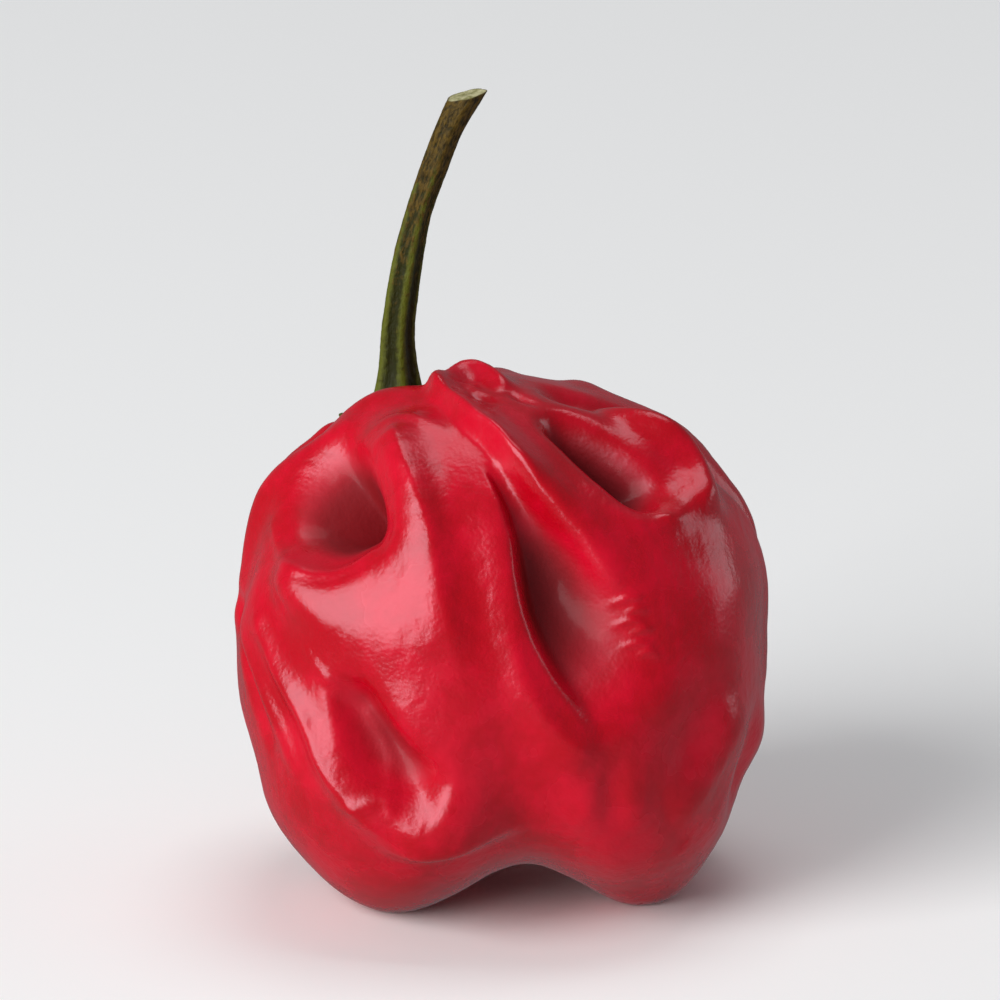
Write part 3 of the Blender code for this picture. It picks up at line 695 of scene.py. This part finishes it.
def new_material(name):
    """A material, its shader and a writer for its nodes."""
    material = bpy.data.materials.new(name)
    material.use_nodes = True
    return material, material.node_tree.nodes["Principled BSDF"], Sums(material.node_tree)


def mix_colours(write, share, first, second):
    """A colour between two others."""
    node = write.tree.nodes.new("ShaderNodeMix")
    node.data_type = "RGBA"
    for socket, value in zip((node.inputs["Factor"], *node.inputs[6:8]), (share, first, second)):
        if isinstance(value, bpy.types.NodeSocket):
            write.tree.links.new(value, socket)
        else:
            socket.default_value = value
    return node.outputs[2]


def attribute(write, name, result="Fac"):
    """A value that the mesh carries."""
    node = write.tree.nodes.new("ShaderNodeAttribute")
    node.attribute_name = name
    return node.outputs[result]


def bump(write, height, distance, before=None):
    """Tiny relief that the mesh is too coarse for, on top of an earlier bump."""
    node = write.tree.nodes.new("ShaderNodeBump")
    node.inputs["Distance"].default_value = distance
    write.tree.links.new(height, node.inputs["Height"])
    if before:
        write.tree.links.new(before, node.inputs["Normal"])
    return node.outputs["Normal"]


def finish_shader(write, shader, colour, roughness, normal, values):
    """Links the three results to a shader and sets its plain values."""
    for result, socket in ((colour, "Base Color"), (roughness, "Roughness"), (normal, "Normal")):
        write.tree.links.new(result, shader.inputs[socket])
    for socket, value in values.items():
        shader.inputs[socket].default_value = value


def make_skin():
    """The pod's red skin."""
    material, shader, write = new_material("pod_skin")
    place = write.node("ShaderNodeTexCoord", result=3)
    mottle = write.noise(place, MOTTLE_SCALE, 3.0, 0.55)
    fleck = write.noise(place, FLECK_SCALE, 2.0, 0.6)
    depth = attribute(write, "fold_depth")
    ripe = write.sum("ADD", mottle, write.sum("MULTIPLY", fleck, FLECK_SHARE))
    colour = mix_colours(write, write.between(ripe, *RIPENING), DEEP_RED, RIPE_RED)
    # painted shade: the deeper a hollow lies, the nearer its colour goes to the dark shade red
    colour = mix_colours(write, write.between(depth, *HOLLOW_SHADING), colour, HOLLOW_SHADE_RED)
    patchy = write.sum("MULTIPLY", mottle, PATCHY_GLOSS)
    roughness = write.sum("ADD", patchy, write.between(depth, *DULLING))
    pores = write.noise(place, PORE_SCALE, 1.0)
    normal = bump(write, pores, PORE_RELIEF, bump(write, fleck, FLECK_RELIEF))
    finish_shader(write, shader, colour, roughness, normal, SKIN_VALUES)
    return material


skin = make_skin()
print("skin material of", len(skin.node_tree.nodes), "nodes")

# %% [markdown]
# ## The skin's fine relief
#
# Close up the skin isn't smooth: it has faint dimples, and fine wrinkles that run down from the stem,
# which break the edges of the highlights. Bump alone would leave the outline bare, so a Geometry Nodes
# tree moves each corner of the mesh along its normal. Two noises make the relief, one of them stretched
# lengthwise.

# %% Skin relief tree
RELIEF_SOCKETS = {
    "Dimple size": "Float", "Dimple height": "Float", "Wrinkle width": "Float", "Wrinkle length": "Float",
    "Wrinkle height": "Float", "Patch size": "Float", "Seed": "Float", "Skin": "Material",
}
RELIEF_INPUTS = {
    "Dimple size": 1.1 * MM, "Dimple height": 0.05 * MM, "Wrinkle width": 0.7 * MM,
    "Wrinkle length": 5.0 * MM, "Wrinkle height": 0.09 * MM, "Patch size": 7.0 * MM, "Seed": 3.0,
    "Skin": skin,
}
PATCH_EDGE = (-0.12, 0.15)


def relief_tree():
    """The tree that lifts each corner of the skin along its normal."""
    tree, size = geometry_tree("skin_relief", RELIEF_SOCKETS)
    write = Sums(tree)
    place = write.node("GeometryNodeInputPosition")
    dimples = write.noise(place, write.sum("DIVIDE", 1.0, size["Dimple size"]), 1.0, 0.5, size["Seed"])
    wide = write.sum("DIVIDE", 1.0, size["Wrinkle width"])
    long = write.sum("DIVIDE", 1.0, size["Wrinkle length"])
    stretched = write.vector("MULTIPLY", place, write.parts(wide, wide, long))
    wrinkles = write.noise(stretched, 1.0, 1.0, 0.5, size["Seed"])
    patches = write.noise(place, write.sum("DIVIDE", 1.0, size["Patch size"]), 1.0, 0.5, size["Seed"])
    patches = write.between(patches, *PATCH_EDGE)
    lift = write.sum(
        "ADD",
        write.sum("MULTIPLY", dimples, size["Dimple height"]),
        write.sum("MULTIPLY", write.sum("MULTIPLY", wrinkles, patches), size["Wrinkle height"]),
    )
    offset = write.vector("SCALE", write.node("GeometryNodeInputNormal"), lift)
    relief = write.node("GeometryNodeSetPosition", size["Geometry"], None, None, offset)
    close_tree(tree, relief, size["Skin"])
    return tree


run_tree(pod_skin, relief_tree(), RELIEF_INPUTS)
print("pod skin of", len(pod_skin.data.polygons), "triangles with its relief")

# %% [markdown]
# ## The stem's line
#
# The stem was cut with a knife, so it is a short, slightly curved stalk that thins upwards and flares a
# little at the cut. Its centre line is the solid model's. Each mark on it has a radius, and a poly curve
# carries both to the next tree.

# %% Stem line
STEM_LINE = [
    ((-7.8, 7.0, 36.4), 1.8),
    ((-7.8, 7.0, 38.6), 1.38),
    ((-7.75, 6.9, 41.6), 1.2),
    ((-7.1, 6.7, 46.4), 1.12),
    ((-6.2, 6.5, 50.6), 0.96),
    ((-5.1, 6.3, 54.0), 1.0),
    ((-3.85, 6.1, 57.4), 1.02),
    ((-2.5, 6.0, 60.0), 1.15),
]
STEM_STEP = 0.4

marks = smooth_path(np.array([(*mark, radius) for mark, radius in STEM_LINE]), STEM_STEP)
stem_curve = bpy.data.curves.new("stem_line", "CURVE")
stem_curve.dimensions = "3D"
spline = stem_curve.splines.new("POLY")
spline.points.add(len(marks) - 1)
for point, mark in zip(spline.points, marks):
    point.co = (*((mark[:3] + POD_AXIS) * MM), 1)
    point.radius = mark[3] * MM
stem_line = bpy.data.objects.new("stem_line", stem_curve)
bpy.context.scene.collection.objects.link(stem_line)
print("stem line", round(STEM_STEP * (len(marks) - 1)), "mm long")

# %% [markdown]
# ## Calyx and stem in one skin
#
# The calyx is a low five-toothed cap that hugs the pod, and the stem grows out of its middle. Modelled
# apart they would meet in a hard line. Here one grid makes both: its columns run round, and its rows run
# from under the calyx, round its edge, up the stem and over the cut. First come the tree's inputs, and
# the share of the rows that each part gets.

# %% Inputs of the calyx and stem
STEM_SOCKETS = {
    "Pod": "Object", "Stem line": "Object", "Sides": "Int", "Rows": "Int", "Pod middle": "Vector",
    "Seat": "Vector", "Seat right": "Vector", "Seat back": "Vector", "Gap": "Float",
    "Calyx radius": "Float", "Tooth": "Float", "Uneven": "Float", "Calyx height": "Float",
    "Vein height": "Float", "Ribs": "Float", "Rib depth low": "Float", "Rib depth high": "Float",
    "Twist": "Float", "Cut start": "Float", "Cut slant": "Float", "Grain height": "Float", "Seed": "Float",
    "Skin": "Material",
}
# Shares of the rows: under the calyx, over it, up the stem, and the rest over the cut
UNDER_SHARE = 0.08
OVER_SHARE = 0.26
STEM_SHARE = 0.955
print("rows: calyx to", OVER_SHARE, "stem to", STEM_SHARE)

# %% [markdown]
# ## The calyx's shape
#
# The cap follows the folds that it lies on. It could be pressed on with a Shrinkwrap modifier, but a ray
# from outside finds the pod's skin under each corner inside the same tree. Two curves say how far out and
# how high each row lies, and a cosine without its sign cuts the rim into teeth.

# %% Calyx shape
TEETH = 5
TOOTH_SHARPNESS = 1.5
BULGES = 2
VEINS = 10
RAY_START = 60 * MM
# along the rows: how far out the calyx reaches, and how high it stands over the skin
CALYX_REACH = [
    (0, 0), (UNDER_SHARE * 0.75, 0.9), (UNDER_SHARE, 0.985), (UNDER_SHARE * 1.25, 0.985),
    (0.14, 0.84), (0.2, 0.62), (OVER_SHARE, 0.47), (1, 0.4),
]
CALYX_PROFILE = [
    (0, 0), (UNDER_SHARE * 0.8, 0.0), (UNDER_SHARE, 0.1), (UNDER_SHARE * 1.25, 0.24),
    (0.14, 0.45), (0.2, 0.66), (OVER_SHARE, 1.0), (1, 1.0),
]
VEINS_BEGIN = (UNDER_SHARE, UNDER_SHARE * 1.4)


def calyx_spots(write, size, angle, way):
    """Where each corner of the calyx lies, over the pod's skin."""
    teeth = write.sum("ABSOLUTE", write.sum("COSINE", write.sum("MULTIPLY", angle, TEETH / 2)))
    teeth = write.sum("MULTIPLY", write.sum("POWER", teeth, TOOTH_SHARPNESS), size["Tooth"])
    bulges = write.sum("MULTIPLY", write.sum("SINE", write.sum("MULTIPLY", angle, BULGES)), size["Uneven"])
    rim = write.sum("ADD", write.sum("ADD", size["Calyx radius"], teeth), bulges)
    reach = write.sum("MULTIPLY", rim, write.curve(way, CALYX_REACH))
    rightward = write.sum("MULTIPLY", write.sum("COSINE", angle), reach)
    backward = write.sum("MULTIPLY", write.sum("SINE", angle), reach)
    spot = write.vector("ADD", size["Seat"], write.vector(
        "ADD", write.vector("SCALE", size["Seat right"], rightward),
        write.vector("SCALE", size["Seat back"], backward)))
    outward = write.vector("NORMALIZE", write.vector("SUBTRACT", spot, size["Pod middle"]))
    pod = write.node("GeometryNodeObjectInfo", size["Pod"], result=4)
    start = write.vector("ADD", size["Pod middle"], write.vector("SCALE", outward, RAY_START))
    inward = write.vector("SCALE", outward, -1.0)
    skin_under = write.node("GeometryNodeRaycast", pod, None, start, inward, RAY_START, result=1)
    veins = write.sum("COSINE", write.sum("MULTIPLY", angle, VEINS))
    veins = write.sum("MULTIPLY", veins, write.between(way, *VEINS_BEGIN))
    veins = write.sum("MULTIPLY", veins, size["Vein height"])
    height = write.sum("MULTIPLY", write.curve(way, CALYX_PROFILE), size["Calyx height"])
    lift = write.sum("ADD", write.sum("ADD", size["Gap"], height), veins)
    return write.vector("ADD", skin_under, write.vector("SCALE", outward, lift))


print("calyx of", TEETH, "teeth and", VEINS, "veins")

# %% [markdown]
# ## The stem's shape
#
# The stem is a bundle of dried strands, so it has ribs, and a fine grain along them. A plain tube round
# the curve would be a cable. Here each row of the grid is a ribbed ring round a point of the line, the
# ribs turn a little on their way up, and the last rows close over the slanting cut.

# %% Stem shape
STEM_OVERLAP = 0.03
GRAIN_SCALE = 3.4
GRAIN_LENGTH = 8.0


def stem_spots(write, size, angle, way):
    """Where each corner of the stem lies, and what its finish reads: its ring, rib and share of the way."""
    round_x, round_y = write.sum("COSINE", angle), write.sum("SINE", angle)
    along = write.between(way, OVER_SHARE - STEM_OVERLAP, STEM_SHARE, soft=False)
    sample = write.tree.nodes.new("GeometryNodeSampleCurve")
    sample.mode = "FACTOR"
    line = write.node("GeometryNodeObjectInfo", size["Stem line"], result=4)
    radius = write.node("GeometryNodeInputRadius")
    for result, socket in ((line, "Curves"), (radius, "Value"), (along, "Factor")):
        write.tree.links.new(result, sample.inputs[socket])
    thick, centre, tangent = (sample.outputs[name] for name in ("Value", "Position", "Tangent"))

    turn = write.sum("MULTIPLY", along, size["Twist"])
    rib = write.sum("COSINE", write.sum("ADD", write.sum("MULTIPLY", angle, size["Ribs"]), turn))
    rib_depth = write.between(along, 0.0, 1.0, size["Rib depth low"], size["Rib depth high"], soft=False)
    ring = write.parts(round_x, round_y, write.sum("MULTIPLY", along, GRAIN_LENGTH))
    grain = write.noise(ring, GRAIN_SCALE, 2.0, 0.6, size["Seed"])
    ribbed = write.sum("MULTIPLY", thick, write.sum("ADD", 1.0, write.sum("MULTIPLY", rib, rib_depth)))
    ribbed = write.sum("ADD", ribbed, write.sum("MULTIPLY", grain, size["Grain height"]))
    ribbed = write.sum("MULTIPLY", ribbed, write.between(way, STEM_SHARE, 1.0, 1.0, 0.0, soft=False))

    rightward, backward = write.sum("MULTIPLY", round_x, ribbed), write.sum("MULTIPLY", round_y, ribbed)
    slant = write.between(along, size["Cut start"], 1.0, 0.0, size["Cut slant"], soft=False)
    across = write.vector("NORMALIZE", write.vector("CROSS_PRODUCT", (0.0, 1.0, 0.0), tangent))
    behind = write.vector("CROSS_PRODUCT", tangent, across)
    side = write.vector("ADD", write.vector("SCALE", across, rightward),
                        write.vector("SCALE", behind, backward))
    slanted = write.vector("SCALE", tangent, write.sum("MULTIPLY", slant, rightward))
    return write.vector("ADD", write.vector("ADD", centre, side), slanted), ring, rib, along


print("stem's rows start", STEM_OVERLAP, "before the calyx's end")

# %% [markdown]
# ## One skin over both
#
# Where the calyx ends, each corner's place goes over softly from the cap to the stem. The tree keeps what
# the finish will read as named attributes, and merges the corners where the grid's two edges meet.

# %% Calyx and stem tree
BLEND_ROWS = (OVER_SHARE - 0.08, OVER_SHARE + 0.04)
CUT_ROWS = (STEM_SHARE, STEM_SHARE + 0.006)
MERGE_WITHIN = 0.001 * MM


def stem_tree():
    """The tree that makes calyx and stem as one closed skin."""
    tree, size = geometry_tree("calyx_and_stem", STEM_SOCKETS)
    write = Sums(tree)
    columns = write.sum("ADD", size["Sides"], 1)
    shape = write.node("GeometryNodeMeshGrid", 1.0, 1.0, columns, size["Rows"])
    flat = tree.nodes.new("ShaderNodeSeparateXYZ")
    tree.links.new(write.node("GeometryNodeInputPosition"), flat.inputs[0])
    angle = write.sum("MULTIPLY", write.sum("ADD", flat.outputs[0], 0.5), 2 * math.pi)
    way = write.sum("ADD", flat.outputs[1], 0.5)
    calyx = calyx_spots(write, size, angle, way)
    stem, ring, rib, along = stem_spots(write, size, angle, way)
    blend = write.between(way, *BLEND_ROWS)
    place = write.node("ShaderNodeMix", blend, calyx, stem, data_type="VECTOR")
    cut = write.between(way, *CUT_ROWS)
    for name, value, kind in (("ring", ring, "FLOAT_VECTOR"), ("rib", rib, "FLOAT"),
                              ("along", along, "FLOAT"), ("cut", cut, "FLOAT")):
        shape = write.node("GeometryNodeStoreNamedAttribute", shape, None, name, value, data_type=kind)
    shape = write.node("GeometryNodeSetPosition", shape, None, place)
    shape = write.node("GeometryNodeMergeByDistance", shape, None, MERGE_WITHIN)
    close_tree(tree, shape, size["Skin"])
    return tree


print("calyx and stem tree ready")

# %% [markdown]
# ## The stem's finish
#
# The stalk is green where it leaves the fruit, with paler ribs, and has dried to a mottled brown towards
# the cut, which shows pale fresh wood. The mesh carries how far round, how far along and how near a rib
# each point is, so the streaks follow the stem round its bend.

# %% Stem material
VALLEY_GREEN = (0.017, 0.018, 0.001, 1)
RIB_GREEN = (0.085, 0.094, 0.008, 1)
BARK_BROWN = (0.088, 0.052, 0.006, 1)
BARK_DARK = (0.018, 0.011, 0.001, 1)
FRESH_CUT = (0.50, 0.47, 0.27, 1)
CUT_RING = (0.20, 0.19, 0.07, 1)
STREAK_SCALE = 5.0
SPECK_SCALE = 1400.0
# how strongly the streaks break up the ribs and the drying edge
RIB_BREAKING = 2.2
EDGE_BREAKING = 1.2
# from where to where one colour goes over into the next
RIB_EDGE = (-0.5, 1.1)
BARK_SPREAD = (-0.16, 0.14)
DRYING = (0.35, 0.8)
DARK_SPECKS = (0.1, 0.22, 0.0, 0.6)
CUT_SPREAD = (-0.2, 0.2)
STREAK_RELIEF = 0.12 * MM
SPECK_RELIEF = 0.05 * MM
STEM_ROUGHNESS = 0.55
PATCHY_ROUGHNESS = 0.5
STEM_VALUES = {"Specular IOR Level": 0.14}


def make_green():
    """The green and brown of the calyx and stem, with the pale cut."""
    material, shader, write = new_material("green_stem")
    ring = attribute(write, "ring", "Vector")
    rib, along, cut = (attribute(write, name) for name in ("rib", "along", "cut"))
    streak = write.noise(ring, STREAK_SCALE, 3.0, 0.6)
    speck = write.noise(write.node("ShaderNodeTexCoord", result=3), SPECK_SCALE, 2.0, 0.6)
    ridge = write.sum("ADD", rib, write.sum("MULTIPLY", streak, RIB_BREAKING))
    green = mix_colours(write, write.between(ridge, *RIB_EDGE), VALLEY_GREEN, RIB_GREEN)
    brown = mix_colours(write, write.between(streak, *BARK_SPREAD), BARK_DARK, BARK_BROWN)
    dried = write.sum("ADD", write.sum("MULTIPLY", streak, EDGE_BREAKING), speck)
    dried = write.between(write.sum("ADD", along, dried), *DRYING)
    colour = mix_colours(write, dried, green, brown)
    colour = mix_colours(write, write.between(speck, *DARK_SPECKS), colour, BARK_DARK)
    fresh = mix_colours(write, write.between(speck, *CUT_SPREAD), FRESH_CUT, CUT_RING)
    colour = mix_colours(write, cut, colour, fresh)
    normal = bump(write, speck, SPECK_RELIEF, bump(write, streak, STREAK_RELIEF))
    roughness = write.sum("ADD", STEM_ROUGHNESS, write.sum("MULTIPLY", speck, PATCHY_ROUGHNESS))
    finish_shader(write, shader, colour, roughness, normal, STEM_VALUES)
    return material


green_stem = make_green()
print("stem material of", len(green_stem.node_tree.nodes), "nodes")

# %% [markdown]
# ## Growing the stem
#
# The tree needs no mesh to start from, so it runs on an empty one. Its sizes are the solid model's, with
# veins and grain added.

# %% Calyx and stem
STEM_INPUTS = {
    "Pod": pod_skin, "Stem line": stem_line, "Sides": 120, "Rows": 300, "Pod middle": pod_middle,
    "Seat": (plain_seat + POD_CENTRE + POD_AXIS) * MM, "Seat right": seat_first, "Seat back": seat_second,
    "Gap": 0.3 * MM, "Calyx radius": 3.9 * MM, "Tooth": 0.8 * MM, "Uneven": 0.25 * MM,
    "Calyx height": 1.4 * MM, "Vein height": 0.06 * MM, "Ribs": 5.0, "Rib depth low": 0.14,
    "Rib depth high": 0.06, "Twist": 0.5, "Cut start": 0.88, "Cut slant": 0.9, "Grain height": 0.12 * MM,
    "Seed": 5.0, "Skin": green_stem,
}
calyx_and_stem = bpy.data.objects.new("calyx_and_stem", bpy.data.meshes.new("calyx_and_stem"))
bpy.context.scene.collection.objects.link(calyx_and_stem)
run_tree(calyx_and_stem, stem_tree(), STEM_INPUTS)
bpy.data.objects.remove(stem_line)
lowest = min(vert.co.z for vert in calyx_and_stem.data.vertices) / MM
print("calyx and stem of", len(calyx_and_stem.data.polygons), "faces, from", round(lowest, 1), "mm up")

# %% [markdown]
# ## Handing the pieces over
#
# Each piece rides on the one body and stands for its solid node, which is hidden.

# %% Bodies and nodes
for piece, node, finish in ((pod_skin, "pod", "pod_skin"), (calyx_and_stem, "calyx_stem", "green_stem")):
    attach(piece, "root")
    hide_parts(node)
    print(piece.name, "stands for", node)
